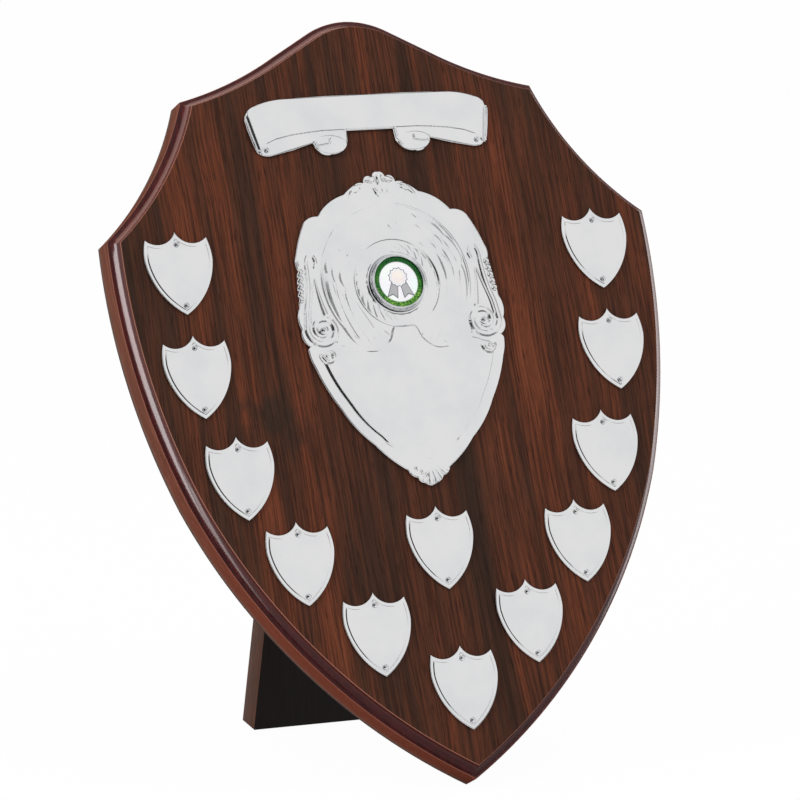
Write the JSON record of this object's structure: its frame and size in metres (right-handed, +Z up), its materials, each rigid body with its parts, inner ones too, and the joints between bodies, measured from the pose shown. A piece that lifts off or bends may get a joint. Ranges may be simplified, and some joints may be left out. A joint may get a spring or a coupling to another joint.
{
  "type": "perpetual award shield",
  "caption": "Wooden perpetual award shield with a moulded edge, an embossed silver centre shield, a title scroll and small name plates, standing on a folding rear strut.",
  "frame": {"origin": "centre of the footprint box on the surface that the shield stands on", "axes": "+Z up, the engraved face looks towards -Y and up, +X to the right of someone facing it"},
  "size_m": [0.273, 0.17, 0.3373],
  "materials": {
    "silver_plate": "bright silver plate, pressed and polished",
    "pin_metal": "small domed pins, polished",
    "holder_ring": "polished ring",
    "disc_print": "glossy printed disc with a glittering green rim",
    "moulding_wood": "polished red mahogany lacquer",
    "face_veneer": "satin lacquered rosewood veneer with upright grain",
    "back_wood": "dark stained board, satin",
    "hinge_brass": "plain brass butt hinge and screws"
  },
  "bodies": {
    "plaque": {"core_board": "moulding_wood", "face_veneer": "face_veneer", "back_veneer": "back_wood", "name_plate_01": "silver_plate", "name_plate_02": "silver_plate", "name_plate_03": "silver_plate", "name_plate_04": "silver_plate", "name_plate_05": "silver_plate", "name_plate_06": "silver_plate", "name_plate_07": "silver_plate", "name_plate_08": "silver_plate", "name_plate_09": "silver_plate", "name_plate_10": "silver_plate", "name_plate_11": "silver_plate", "name_plate_12": "silver_plate", "plate_pin_01_upper": "pin_metal", "plate_pin_01_lower": "pin_metal", "plate_pin_02_upper": "pin_metal", "plate_pin_02_lower": "pin_metal", "plate_pin_03_upper": "pin_metal", "plate_pin_03_lower": "pin_metal", "plate_pin_04_upper": "pin_metal", "plate_pin_04_lower": "pin_metal", "plate_pin_05_upper": "pin_metal", "plate_pin_05_lower": "pin_metal", "plate_pin_06_upper": "pin_metal", "plate_pin_06_lower": "pin_metal", "plate_pin_07_upper": "pin_metal", "plate_pin_07_lower": "pin_metal", "plate_pin_08_upper": "pin_metal", "plate_pin_08_lower": "pin_metal", "plate_pin_09_upper": "pin_metal", "plate_pin_09_lower": "pin_metal", "plate_pin_10_upper": "pin_metal", "plate_pin_10_lower": "pin_metal", "plate_pin_11_upper": "pin_metal", "plate_pin_11_lower": "pin_metal", "plate_pin_12_upper": "pin_metal", "plate_pin_12_lower": "pin_metal", "scroll_pin_left": "pin_metal", "scroll_pin_right": "pin_metal", "centre_pin_left": "pin_metal", "centre_pin_right": "pin_metal", "title_scroll": "silver_plate", "centre_shield": "silver_plate", "centre_holder": "holder_ring", "centre_disc": "disc_print", "hinge_leaf_board": "hinge_brass", "hinge_pin": "hinge_brass", "board_screw_1": "hinge_brass", "board_screw_2": "hinge_brass"},
    "strut": {"strut": "back_wood", "hinge_leaf_strut": "hinge_brass", "strut_screw_1": "hinge_brass", "strut_screw_2": "hinge_brass"}
  },
  "joints": [
    {"name": "strut_fold", "type": "hinge", "parent": "plaque", "child": "strut", "pos_m": [0, 0.03853, 0.23453], "axis": [1, 0, 0], "range_deg": [-31.4, 0]}
  ]
}
